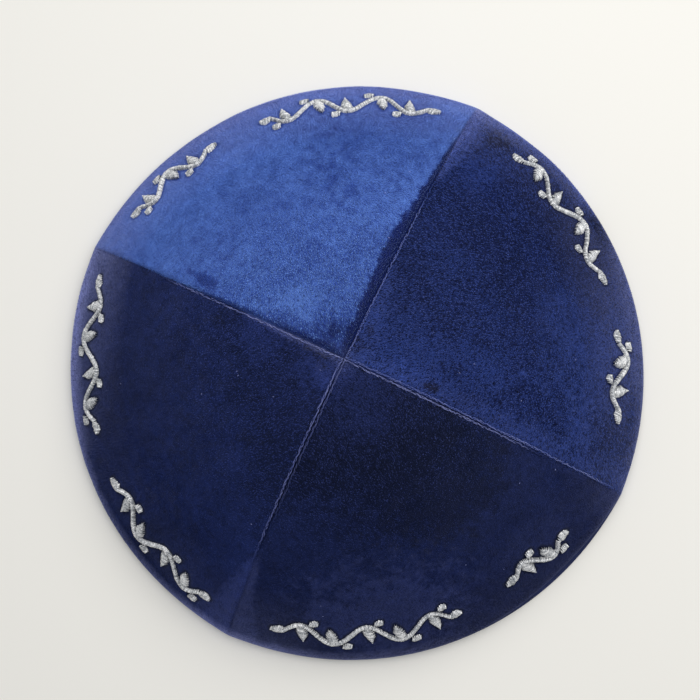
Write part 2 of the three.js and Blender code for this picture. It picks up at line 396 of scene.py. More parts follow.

# Patches where the pile is painted lighter or darker, one to a row: partly brushed nap and partly painted
# light and shade, such as the painted shade in the dent at 82.5 degrees. Azimuth in degrees, share of the
# way from the apex to the rim, half length down the gore and half width across it in millimetres, tone,
# painted sheen. A tone of 1 is the step from the gore's dark colour to its light one, and a painted sheen
# of 1 is the full pale colour.
NAP_PATCHES = [
    (138, 0.09, 3.0, 1.8, -0.6, 0),
    (135, 0, 14, 14, -0.4, 0),
    (170, 0.24, 10, 8, 0.12, 0),
    (140, 0, 5, 5, -0.35, 0),
    (155, 0.17, 8, 8, 0.15, 0),
    (108, 0.72, 26, 22, -0.17, 0),
    (140, 0.5, 22, 24, -0.1, 0),
    (172, 0.13, 12, 3.5, -0.35, 0),
    (175, 0.445, 4.2, 1.8, -0.6, 0),
    (145, 0, 11, 11, -0.55, 0),
    (80.5, 0.68, 11, 6, 0.2, 0),
    (60, 0.1, 9, 10, 0.05, 0),
    (60, 0.55, 10, 24, -0.25, 0),
    (82.5, 0.87, 5.5, 4.5, -1.0, 0),
    (72.8, 0.1, 1.2, 1.6, -0.7, 0),
    (45, 0.1, 15, 15, 0.12, 0),
    (55, 0.8, 16, 26, -0.5, 0),
    (7.0, 0.232, 2.6, 1.2, -1.3, 0),
    (20, 0.3, 20, 9, 0.25, 0),
    (32, 0.76, 24, 22, 0.35, 0.02),
    (10, 0.7, 7, 8, 0.3, 0.02),
    (54, 0.96, 6, 7, -0.6, 0),
    (192, 0.85, 14, 24, 0.1, 0.02),
    (222, 0.05, 9, 12, 0.3, 0),
    (220, 0, 9, 10, 0.4, 0.02),
    (190, 0.24, 8, 7, 0.2, 0),
    (262, 0.36, 10, 12, -0.12, 0),
    (205, 0.7, 34, 40, -0.08, 0.02),
    (250, 0.8, 16, 16, -0.12, 0.005),
    (275, 0, 5, 9, 0.6, 0.05),
    (303, 0.8, 22, 24, 0.27, 0.042),
    (342, 0.62, 24, 26, 0, 0.012),
    (315, 0.1, 16, 10, 0.2, 0),
    (330, 0.42, 18, 24, -0.35, 0),
    (315, 0.3, 9, 40, -0.15, 0),
]

# Where a patch starts to show and where it is full, in half sizes from its middle
PATCH_EDGE = (1.35, 0.4)
APEX_REACH = 2 * MM  # nearer to the apex than this, a patch grows no wider in azimuth

# Bands along a seam, painted lighter or darker: partly nap that lies another way and partly painted light
# and shade; the dark band along the bright gore's first seam is painted shade where its cloth turns down
# into the seam. One to a row: the gore, which of its seams, and the tone and painted sheen; then shares of
# the way from the apex to the rim, and the band's width at each in millimetres
NAP_BANDS = [
    (1, 0, -2.2, 0, (0, 0.1, 0.3, 0.45, 0.55, 0.65, 0.75), (1.9, 2.1, 3.3, 2.3, 1.4, 0.8, 0.4)),
    (1, 1, -0.6, 0, (0, 0.2, 0.45), (1.6, 2.2, 0.6)),
    (0, 0, 0.35, 0.02, (0, 0.4, 1), (4, 6, 7)),
    (0, 1, 0.3, 0.02, (0, 0.1, 0.3), (4, 6, 1)),
    (0, 1, 0.6, 0.07, (0.55, 0.7, 0.9, 1), (1.0, 5.0, 7.0, 8)),
    (0, 1, 0.6, 0.1, (0.6, 0.75, 0.9, 1), (0.3, 1.8, 2.6, 4)),
    (2, 0, 0.5, 0.12, (0, 0.15, 0.32), (1.6, 1.8, 0.5)),
    (2, 1, 0.3, 0.035, (0.58, 0.8, 1), (1, 7, 14)),
    (3, 0, 0.3, 0.055, (0.58, 0.8, 1), (1, 5, 12)),
]

# Where a band starts to show and where it is full, in widths from the seam
BAND_EDGE = (1.4, 0.5)
BAND_COARSE_PARTS = 3  # its edge takes one part in three of the coarse lumps
BAND_OVERRUN = 0.02  # share of the way to the rim by which it shows past its ends
BAND_START_FADE = 0.06
BAND_END_FADE = 0.08

# The dark line down each seam is painted shade in its groove. It fades away at this share of the way to
# the rim, and the pile closes over it. The first is the seam at azimuth zero.
SEAM_DARK_ENDS = (0.5, 0.62, 0.42, 0.55)
SEAM_DARK_REACH = 0.5 * MM
SEAM_DARK_TONE = -0.4
SEAM_CLOSE_BEFORE = 0.12  # the pile closes from this far before the end
SEAM_CLOSE_AFTER = 0.06  # to this far after it

# The turned edges of each gore, at its first seam and at its second: the share of the way to the rim where
# they end, and their tone and painted sheen at four such shares. Their pale colour is partly the paler
# ground where the pile parts and partly painted highlight where an edge faces the light; the bright gore's
# edges face away and are painted dark as shade.
EDGE_ENDS = [(0.92, 0.55), (0.75, 0.5), (0.58, 0.62), (0.5, 0.6)]
EDGE_STATIONS = (0.02, 0.3, 0.6, 0.85)
EDGE_TONES = [
    ((0.6, 0.6, 0.5, 0.4), (0.6, 0.6, 0.4, 0)),
    ((-1.2, -1.2, -0.6, 0), (-0.8, -0.6, -0.2, 0)),
    ((0.8, 0.8, 0.4, 0), (0.5, 0.5, 0.2, 0.1)),
    ((0.4, 0.2, 0.1, 0), (0.7, 0.6, 0.4, 0.1)),
]
EDGE_SHEEN_AND_GROUND = [
    ((0.3, 0.32, 0.5, 0.5), (0.32, 0.3, 0.2, 0)),
    ((0, 0, 0, 0), (0, 0, 0, 0)),
    ((0.46, 0.5, 0.35, 0), (0.4, 0.3, 0.22, 0)),
    ((0.3, 0.12, 0.05, 0), (0.5, 0.5, 0.4, 0)),
]

# Round the rim, one azimuth to a row: azimuth in degrees, tone of the curl, which is painted light and
# shade, and painted sheen, as velvet shows at a grazing angle, at each of the first three distances up the
# cloth from the rim; at the last distance there is none
RIM_REACHES = (3 * MM, 8 * MM, 12 * MM, 34 * MM)
RIM_PAINTED_LIGHT = [
    (0, 0.1, 0.2, 0.1, 0.08),
    (8, 0.1, 0.35, 0.13, 0.07),
    (16, 0, 0.3, 0.06, 0.13),
    (24, 0.1, 0.35, 0.22, 0.15),
    (40, 0.1, 0.35, 0.24, 0.14),
    (48, 0, 0.3, 0.18, 0.12),
    (56, -0.2, 0.1, 0.02, 0.12),
    (62, 0.8, 0.25, 0.16, 0.06),
    (80, 1.0, 0.3, 0.18, 0.06),
    (89.9, 0.8, 0.45, 0.3, 0.14),
    (90.1, 0, 0.5, 0.28, 0.18),
    (104, -0.15, 0.5, 0.37, 0.25),
    (178, -0.1, 0.58, 0.43, 0.29),
    (182, 0.2, 0.7, 0.52, 0.34),
    (192, 0.3, 0.95, 0.62, 0.28),
    (200, 0.3, 0.95, 0.56, 0.17),
    (208, 0.3, 0.9, 0.48, 0.13),
    (216, 0.3, 0.8, 0.38, 0.09),
    (224, 0.2, 0.6, 0.06, 0.04),
    (240, 0, 0.35, 0, 0.04),
    (248, 0, 0.35, 0, 0.04),
    (256, 0.1, 0.4, 0.02, 0.05),
    (264, 0.3, 0.6, 0.05, 0.05),
    (280, 0.4, 0.6, 0.12, 0.08),
    (290, 0, 0.35, 0.02, 0.02),
    (304, 0, 0.3, 0.02, 0.01),
    (320, -0.1, 0.1, 0.05, 0.04),
    (344, -0.1, 0.08, 0.04, 0.04),
    (352, -0.1, 0.1, 0.02, 0.03),
    (360, 0.1, 0.2, 0.1, 0.08),
]
RIM_TONE_REACH = 9 * MM
RIM_TONE_FULL = RIM_TONE_REACH / 3


def seam_distances(azimuth, radius):
    """The gore a place is on, and its distances from the gore's first and second seam."""
    degrees = np.mod(np.degrees(azimuth), 360)
    quarter = np.clip((degrees / 90).astype(int), 0, 3)
    turn = np.radians(degrees - 90 * quarter)
    return quarter, np.maximum(radius, TINY) * np.stack([np.sin(turn), np.cos(turn)])


def nap_at(azimuth, length):
    """Tone and painted sheen of the nap at a place."""
    radius, height, _ = profile(length)
    place = round_points(azimuth, radius, height)
    lumps = [noise_at(place, size, RAGGED_SEED + k) for k, size in enumerate(RAGGED_SIZES)]
    coarse, fine = (lump * RAGGED_SHARE for lump in lumps)
    ragged = coarse + fine
    degrees = np.mod(np.degrees(azimuth), 360)
    share = length / GORE_LENGTH
    tone = np.zeros(np.shape(length))
    sheen_and_lint = np.zeros(np.shape(length))
    for patch_azimuth, patch_share, half_length, half_width, patch_tone, patch_sheen in NAP_PATCHES:
        turn = np.mod(degrees - patch_azimuth + 180, 360) - 180
        down = (share - patch_share) * GORE_LENGTH / (half_length * MM)
        across = np.radians(turn) * np.maximum(radius, APEX_REACH) / (half_width * MM)
        within = smoothstep(np.sqrt(down**2 + across**2) + ragged, *PATCH_EDGE)
        tone += patch_tone * within
        sheen_and_lint += patch_sheen * within

    quarter, distances = seam_distances(azimuth, radius)
    for gore, seam, band_tone, band_sheen, shares, widths in NAP_BANDS:
        width = np.interp(share, shares, widths) * MM
        edge = distances[seam] / width + coarse / BAND_COARSE_PARTS + fine
        within = smoothstep(edge, *BAND_EDGE) * (quarter == gore)
        within = within * smoothstep(share, shares[0] - BAND_OVERRUN, shares[0] + BAND_START_FADE)
        if shares[-1] < 1:
            within = within * smoothstep(share, shares[-1] + BAND_OVERRUN, shares[-1] - BAND_END_FADE)
        tone += band_tone * within
        sheen_and_lint += band_sheen * within

    rise = GORE_LENGTH - length + ragged * MM
    columns = np.array(RIM_PAINTED_LIGHT).T
    rim_tone = np.interp(degrees, columns[0], columns[1])
    tone += rim_tone * smoothstep(rise, RIM_TONE_REACH, RIM_TONE_FULL)
    rim_sheens = [np.interp(degrees, columns[0], column) for column in columns[2:]]
    rim_sheens.append(0 * rim_sheens[0])
    rim_sheen = rim_sheens[0]
    for near, far, low, high in zip(rim_sheens, rim_sheens[1:], RIM_REACHES, RIM_REACHES[1:]):
        step = np.clip((rise - low) / (high - low), 0, 1)
        rim_sheen = np.where(rise > low, near + (far - near) * step, rim_sheen)
    rim_sheen = rim_sheen * smoothstep(rise, -RIM_REACHES[0], RIM_REACHES[0])
    return tone, sheen_and_lint + rim_sheen


def seam_closing(azimuth, length):
    """How far the pile has closed over the nearest seam: 0 where the seam's painted shade shows, 1 at the
    rim.
    """
    quarter, distances = seam_distances(azimuth, profile(length)[0])
    end = np.array(SEAM_DARK_ENDS)[(quarter + np.argmin(distances, 0)) % 4]
    return smoothstep(length / GORE_LENGTH, end - SEAM_CLOSE_BEFORE, end + SEAM_CLOSE_AFTER)


# Painted shade down each seam's groove, until the pile closes over it
def seam_shade(azimuth, length):
    distance = seam_distance(azimuth, profile(length)[0])
    return SEAM_DARK_TONE * smoothstep(distance, SEAM_DARK_REACH, 0) * (1 - seam_closing(azimuth, length))


# Pile: tufts that stand on the ground and lean towards the crown

TUFT_SPACING = 0.44 * MM
TUFT_STRAY = 0.42  # share of the spacing by which a tuft is out of line
TUFT_LENGTH = 0.85 * MM
TUFT_LENGTH_SPREAD = (-0.2, 0.15)  # shares of the length
TUFT_RADIUS = 0.225 * MM
TUFT_SINK = 0.12 * MM  # how deep its foot is in the ground
TUFT_SIDES = 3
TUFT_LEAN = math.radians(52)
TUFT_LEAN_SPREAD = math.radians(9)
TUFT_LEAN_LIMITS = (0.3, 1.3)  # radians
TUFT_TURN_SPREAD = math.radians(22)
SWIRL_SIZE = 7 * MM  # lumps in which the pile lies this way or that
SWIRL_TURN = math.radians(24)
SWIRL_LEAN = math.radians(8)

# Towards the rim the pile lies calm, from one share of the way there and fully from another
CALM_START = 0.15
CALM_FULL = 0.6
CALM_ORDER = 0.88  # share by which the tufts there differ less from each other
CALM_SHADE = 0.18  # how much darker the nap is there
CALM_BREADTH = 0.4  # share by which a tuft is broader there
CALM_FLATNESS = 0.65  # share by which it is thinner there
CALM_ROOT = 0.85  # how far its root has the tone of a tip there, free of the painted shade

GROUND_TONE = -0.5  # painted shade of the ground between tufts that don't lie calm
SEAM_TRIM_REACH = 1.1 * MM  # the pile is short where a seam pulls it in
SEAM_TRIM = 0.35
SHEEN_FLECK = 0.35  # share by which the painted sheen differs from tuft to tuft
FLECK_PALENESS = 0.06  # paleness on the lightest tufts, for a fleck of 1
LINT_SPECKS = 7  # on each gore
LINT_PALENESS = 1.2

# A row of tufts lies along each side of a seam, on the turned edge
EDGE_TUFT_SPACING = 0.3 * MM
EDGE_TUFT_START = 1.0 * MM  # from the apex
EDGE_TUFT_FADE = 0.12  # share of the way to the rim over which their own tone fades at the end
EDGE_TUFT_PLACE = 0.5 * MM  # from the seam
EDGE_TUFT_STRAY = 0.55  # share of the place
EDGE_TUFT_LENGTH = 1.1 * MM
EDGE_TUFT_RADIUS = 0.18 * MM
EDGE_TUFT_DEPTH = 0.2 * MM
EDGE_TUFT_LEAN = math.radians(74)
EDGE_TUFT_LEAN_SPREAD = math.radians(6)
EDGE_TUFT_FLECK = 0.8
EDGE_TUFT_FLECK_SIZE = 1.8 * MM
EDGE_TUFT_ROOT = 0.6

STITCH_COVER = 0.45 * MM  # there is no pile this near the middle of a stitch
STITCH_PRESS_REACH = 1.3 * MM  # and up to here it is pressed down and painted darker as the stitch's shade
STITCH_SHADE = -0.7


def tuft_places(rng):
    """Length down from the apex, and turn from the gore's first seam, of each tuft."""
    lengths, turns = [], []
    for row in range(1, int(GORE_LENGTH / TUFT_SPACING) + 1):
        length = row * TUFT_SPACING
        arc = float(profile(np.array(length))[0]) * RIGHT_ANGLE
        count = max(int(arc / TUFT_SPACING), 1)
        stray = rng.uniform(-TUFT_STRAY, TUFT_STRAY, count)
        turns.append((np.arange(count) + 0.5 + stray) / count * RIGHT_ANGLE)
        lengths.append(length + rng.uniform(-TUFT_STRAY, TUFT_STRAY, count) * TUFT_SPACING)
    return np.minimum(np.concatenate(lengths), GORE_LENGTH), np.concatenate(turns)


def calm_at(quarter, length):
    """How calm the pile lies, from 0 to 1."""
    return GORES[quarter]["calm"] * smoothstep(length / GORE_LENGTH, CALM_START, CALM_FULL)


def unit(vectors):
    return vectors / np.maximum(np.linalg.norm(vectors, axis=-1, keepdims=True), TINY)


def outward(azimuth, length):
    """Directions straight out of the cap's smooth form."""
    return unit(cap_points(azimuth, length, -MM) - cap_points(azimuth, length))


def edge_places(quarter, rng):
    """The tufts on the turned edges at a gore's two seams: azimuth, length down, tone and painted sheen.
    """
    columns = []
    for side in (0, 1):
        end = EDGE_ENDS[quarter][side]
        length = np.arange(EDGE_TUFT_START, end * GORE_LENGTH, EDGE_TUFT_SPACING)
        place = EDGE_TUFT_PLACE * (1 + EDGE_TUFT_STRAY * rng.uniform(-1, 1, len(length)))
        turn = np.arcsin(place / profile(length)[0])
        azimuth = quarter * RIGHT_ANGLE + (RIGHT_ANGLE - turn if side else turn)
        share = length / GORE_LENGTH
        fading = smoothstep(share, end, end - EDGE_TUFT_FADE)
        tone = np.interp(share, EDGE_STATIONS, EDGE_TONES[quarter][side]) * fading
        sheen_and_lint = np.interp(share, EDGE_STATIONS, EDGE_SHEEN_AND_GROUND[quarter][side]) * fading
        columns.append(np.stack([azimuth, length, tone, sheen_and_lint]))
    azimuth, length, tone, sheen_and_lint = np.concatenate(columns, 1)
    flecks = noise_at(cap_points(azimuth, length), EDGE_TUFT_FLECK_SIZE, EDGE_FLECK_SEED)
    nap_tone, nap_sheen = nap_at(azimuth, length)
    return azimuth, length, nap_tone + tone, nap_sheen + sheen_and_lint * (1 + EDGE_TUFT_FLECK * flecks)


def spikes(base, axis, normal, reach, radius, thickness):
    """Closed spikes, each from a base along its axis: points, foot first and tip last, and triangles."""
    across = unit(np.cross(axis, normal))
    back = np.cross(axis, across)
    turns = 2 * math.pi * np.arange(TUFT_SIDES) / TUFT_SIDES
    foot = base[:, None] + across[:, None] * radius[:, None, None] * np.cos(turns)[:, None]
    foot = foot + back[:, None] * thickness[:, None, None] * np.sin(turns)[:, None]
    tip = base + axis * reach[:, None]
    points = np.concatenate([foot, tip[:, None]], 1)
    start = np.arange(len(base))[:, None] * (TUFT_SIDES + 1)
    sides = []
    for k in range(TUFT_SIDES):
        sides.append(np.concatenate([start + k, start + (k + 1) % TUFT_SIDES, start + TUFT_SIDES], 1))
    bottom = start + np.arange(TUFT_SIDES)[::-1]
    return points, np.stack([*sides, bottom], 1).reshape(-1, 3)


def along_gore(azimuth, length, lean, turn_aside, towards):
    """Directions that lean from straight out of the velvet towards the crown, seen along an azimuth."""
    normal = outward(azimuth, length)
    nap = -np.stack([np.cos(towards), np.sin(towards), 0 * towards], -1)
    nap = unit(nap - normal * np.sum(normal * nap, -1, keepdims=True))
    aside = np.cross(normal, nap)
    level = nap * np.cos(turn_aside)[:, None] + aside * np.sin(turn_aside)[:, None]
    return normal, normal * np.cos(lean)[:, None] + level * np.sin(lean)[:, None]


def standing_tufts(quarter, stitches, rng):
    """The tufts all over a gore: points, triangles, tone, painted sheen with lint, and root of each."""
    first_seam = quarter * RIGHT_ANGLE
    length, turn = tuft_places(rng)
    azimuth = first_seam + turn
    stitch_gap = stitch_distance(stitches, azimuth, length)
    keep = stitch_gap > STITCH_COVER
    length, azimuth, stitch_gap = length[keep], azimuth[keep], stitch_gap[keep]
    free = smoothstep(stitch_gap, STITCH_COVER, STITCH_PRESS_REACH)
    count = len(length)
    base = cap_points(azimuth, length, 0.0, relief(azimuth, length) + GROUND_DEPTH + TUFT_SINK)

    calm = calm_at(quarter, length)
    unruly = 1 - CALM_ORDER * calm
    turn_aside = noise_at(base, SWIRL_SIZE, SWIRL_TURN_SEED) * SWIRL_TURN
    turn_aside = turn_aside + rng.normal(0, 1, count) * TUFT_TURN_SPREAD * unruly
    lean = TUFT_LEAN + noise_at(base, SWIRL_SIZE, SWIRL_LEAN_SEED) * SWIRL_LEAN
    lean = lean + rng.normal(0, 1, count) * TUFT_LEAN_SPREAD * unruly
    lean = np.clip(lean, *TUFT_LEAN_LIMITS)
    middle = np.full(count, first_seam + RIGHT_ANGLE / 2)
    normal, axis = along_gore(azimuth, length, lean, turn_aside, middle)

    near_seam = smoothstep(seam_distance(azimuth, profile(length)[0]), SEAM_TRIM_REACH, 0)
    trim = 1 - (1 - SEAM_TRIM) * near_seam * (1 - seam_closing(azimuth, length))
    trim = trim * (SEAM_TRIM + (1 - SEAM_TRIM) * free)
    reach = TUFT_LENGTH * trim * (1 + rng.uniform(*TUFT_LENGTH_SPREAD, count) * unruly)
    breadth = TUFT_RADIUS * trim * (1 + CALM_BREADTH * calm)
    thickness = TUFT_RADIUS * trim * (1 - CALM_FLATNESS * calm)
    points, triangles = spikes(base, axis, normal, reach, breadth, thickness)

    fleck = rng.normal(0, 1, count) * GORES[quarter]["fleck"] * unruly
    tone, sheen_and_lint = nap_at(azimuth, length)
    tone = tone + fleck + seam_shade(azimuth, length) + STITCH_SHADE * (1 - free) - CALM_SHADE * calm
    sheen_and_lint = sheen_and_lint * free * (1 + rng.normal(0, 1, count) * SHEEN_FLECK) + FLECK_PALENESS * np.maximum(fleck, 0)
    sheen_and_lint[rng.choice(count, LINT_SPECKS)] = LINT_PALENESS
    return points, triangles, tone, sheen_and_lint, CALM_ROOT * calm


def edge_tufts(quarter, rng):
    """The tufts on the turned edges, given as the standing ones are."""
    azimuth, length, tone, sheen_and_lint = edge_places(quarter, rng)
    count = len(tone)
    base = cap_points(azimuth, length, 0.0, relief(azimuth, length) + EDGE_TUFT_DEPTH)
    lean = EDGE_TUFT_LEAN + rng.uniform(-1, 1, count) * EDGE_TUFT_LEAN_SPREAD
    normal, axis = along_gore(azimuth, length, lean, 0 * lean, azimuth)
    reach = np.full(count, EDGE_TUFT_LENGTH)
    radius = np.full(count, EDGE_TUFT_RADIUS)
    points, triangles = spikes(base, axis, normal, reach, radius, radius)
    return points, triangles, tone, sheen_and_lint, np.full(count, EDGE_TUFT_ROOT)


def make_pile(quarter, stitches):
    """The gore's pile. Each tuft knows its tone, painted sheen and lint, and how near its tip a point is.
    """
    rng = np.random.default_rng(PILE_SEED + quarter)
    standing = standing_tufts(quarter, stitches, rng)
    lying = edge_tufts(quarter, rng)
    corners = TUFT_SIDES + 1
    points = np.concatenate([standing[0], lying[0]])
    triangles = np.concatenate([standing[1], lying[1] + len(standing[0]) * corners])
    tone, sheen_and_lint, root = (np.concatenate(both) for both in zip(standing[2:], lying[2:]))
    pile = mesh_object(GORES[quarter]["name"].replace("gore", "pile"), points, triangles)
    write_attribute(pile, "nap", np.repeat(tone, corners))
    write_attribute(pile, "sheen_and_lint", np.repeat(sheen_and_lint, corners))
    write_attribute(pile, "tip", np.stack([root] * TUFT_SIDES + [np.ones(len(root))], -1).reshape(-1))
    return pile


def write_attribute(obj, name, values):
    layer = obj.data.attributes.new(name, "FLOAT", "POINT")
    layer.data.foreach_set("value", np.asarray(values, dtype=np.float32))


# Materials


class Nodes:
    """Short calls for a material's nodes."""

    def __init__(self, name):
        self.material = bpy.data.materials.new(name)
        self.material.use_nodes = True
        self.tree = self.material.node_tree
        self.shader = self.tree.nodes["Principled BSDF"]

    def add(self, kind, inputs=(), **settings):
        node = self.tree.nodes.new(kind)
        for key, value in settings.items():
            setattr(node, key, value)
        for key, value in dict(inputs).items():
            self.feed(node.inputs[key], value)
        return node

    def feed(self, socket, value):
        if isinstance(value, bpy.types.NodeSocket):
            self.tree.links.new(value, socket)
        else:
            socket.default_value = value

    def math(self, operation, a, b=0.0, clamp=False):
        return self.add("ShaderNodeMath", {0: a, 1: b}, operation=operation, use_clamp=clamp).outputs[0]

    def vector(self, operation, a, b=(0, 0, 0)):
        return self.add("ShaderNodeVectorMath", {0: a, 1: b}, operation=operation).outputs[0]

    def attribute(self, name):
        return self.add("ShaderNodeAttribute", attribute_name=name).outputs["Fac"]

    def noise(self, coordinates, size, detail=2.0, roughness=0.5):
        inputs = {"Vector": coordinates, "Scale": 1 / size, "Detail": detail, "Roughness": roughness}
        return self.add("ShaderNodeTexNoise", inputs).outputs["Fac"]

    def spread(self, value, low, high, to_low=0.0, to_high=1.0):
        inputs = {"Value": value, "From Min": low, "From Max": high, "To Min": to_low, "To Max": to_high}
        return self.add("ShaderNodeMapRange", inputs).outputs["Result"]

    def mix(self, factor, a, b, blend="MIX"):
        node = self.add("ShaderNodeMix", data_type="RGBA", blend_type=blend)
        self.feed(node.inputs["Factor"], factor)
        self.feed(node.inputs["A"], a)
        self.feed(node.inputs["B"], b)
        return node.outputs["Result"]

    def set(self, **sockets):
        for key, value in sockets.items():
            self.feed(self.shader.inputs[key.replace("_", " ")], value)


def rgba(colour):
    return (*colour, 1.0)


# Velvet: sizes of its colour's unevenness, and how strongly each shows
PILE_GRAIN = 0.5 * MM
PILE_STREAK = 2.5  # length of a grain over its width
BRUSH_SIZE = 3.2 * MM
LUSTRE_SIZE = 20 * MM
GRAIN_SHARE = 0.07
BRUSH_SHARE = 0.2
LUSTRE_SHARE = 0.14
NOISE_DETAIL = 2.5
NOISE_ROUGHNESS = 0.6
NOISE_RANGE = (0.3, 0.7)  # the noise's values that are spread over an unevenness
# Pale lilac of the painted sheen; lint specks and the lightest flecks take it too
SHEEN_AND_LINT_COLOUR = (0.36, 0.40, 0.76)
# Tufts are painted darker towards the root: painted shade down in the pile
ROOT_SHADE = 0.25
ROOT_END = 0.8  # share of the way up a tuft where the painted shade at its root ends

# Tones of the nap at which a gore has its deep, dark and light colour
DEEP_TONE = -1.5
DARK_TONE = -0.5
LIGHT_TONE = 0.5


def velvet_colour(n, gore, middle):
    """From the gore's deep colour to its light one, by grain, brush marks, lustre and the nap's tone."""
    place = n.add("ShaderNodeTexCoord").outputs["Object"]
    turned = n.add("ShaderNodeVectorRotate", {"Vector": place, "Angle": -middle}, rotation_type="Z_AXIS")
    along = turned.outputs[0]
    streaks = n.vector("MULTIPLY", along, (1 / PILE_STREAK, 1, 1))
    # The nap's tone holds painted light and shade too: at the seams, rim, stitches and between tufts
    tone = n.attribute("nap")
    for coordinates, size, share in (
        (streaks, PILE_GRAIN, GRAIN_SHARE),
        (along, BRUSH_SIZE, BRUSH_SHARE),
        (along, LUSTRE_SIZE, LUSTRE_SHARE),
    ):
        unevenness = n.noise(coordinates, size, NOISE_DETAIL, NOISE_ROUGHNESS)
        tone = n.math("ADD", tone, n.spread(unevenness, *NOISE_RANGE, -share / 2, share / 2))
    colour = n.mix(n.spread(tone, DEEP_TONE, DARK_TONE), rgba(gore["deep"]), rgba(gore["dark"]))
    colour = n.mix(n.spread(tone, DARK_TONE, LIGHT_TONE), colour, rgba(gore["light"]))
    # Towards the pale colour of the painted sheen, and of lint
    return n.mix(n.attribute("sheen_and_lint"), colour, rgba(SHEEN_AND_LINT_COLOUR))


def velvet_material(kind, gore, middle):
    """The pile, with painted shade at each tuft's root and clear at the tip, or the woven ground under it.
    """
    n = Nodes(f"{kind}_{gore['name']}")
    colour = velvet_colour(n, gore, middle)
    if kind == "pile":
        shade = n.spread(n.attribute("tip"), 0, ROOT_END, ROOT_SHADE, 1)
        grey = n.add("ShaderNodeCombineColor", {"Red": shade, "Green": shade, "Blue": shade})
        colour = n.mix(1.0, colour, grey.outputs[0], "MULTIPLY")
    n.set(Base_Color=colour, Roughness=0.65, Specular_IOR_Level=0.1)
    n.set(Sheen_Weight=gore["sheen"], Sheen_Roughness=0.4, Sheen_Tint=(0.32, 0.46, 1.0, 1))
    return n.material


# Woven back of the velvet, seen inside: sizes, shares in its tone, and its two colours
WEAVE_PITCH = 0.55 * MM
WEAVE_RELIEF = 0.1 * MM
FIBRE_SIZE = 0.3 * MM
CLOUD_SIZE = 9 * MM
WEAVE_SHARE = 0.2
FIBRE_SHARE = 0.5
CLOUD_SHARE = 0.5
BACKING_DARK = (0.006, 0.010, 0.040)
BACKING_LIGHT = (0.022, 0.036, 0.130)


def backing_material():
    """Plain weave in the velvet's blue, duller than its pile."""
    n = Nodes("velvet_backing")
    place = n.add("ShaderNodeTexCoord").outputs["Object"]
    turns = n.vector("MULTIPLY", place, (2 * math.pi / WEAVE_PITCH,) * 3)
    parts = n.add("ShaderNodeSeparateXYZ", {0: turns})
    warp = n.math("SINE", parts.outputs["X"])
    weft = n.math("SINE", parts.outputs["Y"])
    weave = n.math("MULTIPLY", warp, weft)
    fibre = n.noise(place, FIBRE_SIZE, 2.0)
    cloud = n.noise(place, CLOUD_SIZE, 3.0)
    tone = n.math("ADD", n.math("MULTIPLY", weave, WEAVE_SHARE), n.math("MULTIPLY", fibre, FIBRE_SHARE))
    tone = n.math("ADD", tone, n.math("MULTIPLY", cloud, CLOUD_SHARE), clamp=True)
    colour = n.mix(tone, rgba(BACKING_DARK), rgba(BACKING_LIGHT))
    bump = n.add("ShaderNodeBump", {"Strength": 0.5, "Distance": WEAVE_RELIEF, "Height": weave})
    n.set(Base_Color=colour, Roughness=0.85, Specular_IOR_Level=0.2, Normal=bump.outputs[0])
    return n.material


# Embroidery: sprays of a leafy vine in satin stitch, on a band above the rim

BAND_RISE = 16.3 * MM  # up the cloth from the rim to the band's middle line
BAND_LENGTH = GORE_LENGTH - BAND_RISE
BAND_RADIUS = float(profile(np.array(BAND_LENGTH))[0])

# Two sprays to a gore, from one azimuth to another, in degrees
SPRAYS = [(13, 33), (43, 78), (96, 136), (146.5, 171), (185, 220), (230, 264), (278, 319.5), (330.5, 348)]
BAY_LENGTH = 9.6 * MM  # of the vine, from one side to the other
BAY_POINTS = 60
VINE_SWAY = 4.0 * MM
VINE_WIDTH = 1.7 * MM
VINE_TAPER = 0.25  # share of the width that is lost at its ends
LEAF_LENGTH = 7.4 * MM
LEAF_WIDTH = 3.6 * MM
LEAF_ROUNDNESS = 0.8  # below 1, a leaf is full and widest nearer to its foot
LEAF_TIP = 0.22  # share of the width at its ends
LEAF_LEAN = math.radians(10)
BERRY_WIDTH = 2.8 * MM
BERRY_END = 0.3  # share of the width at its ends
BERRY_PLACE = 0.25  # share of a bay past the vine's crest
BERRY_GAP = 2.3 * MM  # from the vine's middle to the berry's
BUD_LENGTH = 4.0 * MM
STRAIGHT_POINTS = 12

THREAD_PITCH = 0.44 * MM
THREAD_WIDTH = 0.5 * MM
THREAD_HEIGHT = 0.42 * MM
THREAD_STATIONS = 7
THREAD_SIDES = 5
THREAD_GLINT_SIZE = 0.42 * MM
THREAD_RELIEF = 0.1 * MM
STITCH_RISE = 0.38 * MM
STITCH_RISE_SPREAD = 0.15  # share of the rise
STITCH_SINK = 0.7 * MM
STITCH_ARCH = 0.6  # below 1, a thread stays up over most of its length
STITCH_SLANT = math.radians(18)
STITCH_JITTER = 0.14  # share of the stitch's length
STITCH_SAMPLES = (0.1, 0.5, 0.9)  # shares of a stitch where the pile's distance from it is taken
FAR_FROM_STITCHES = 1.0


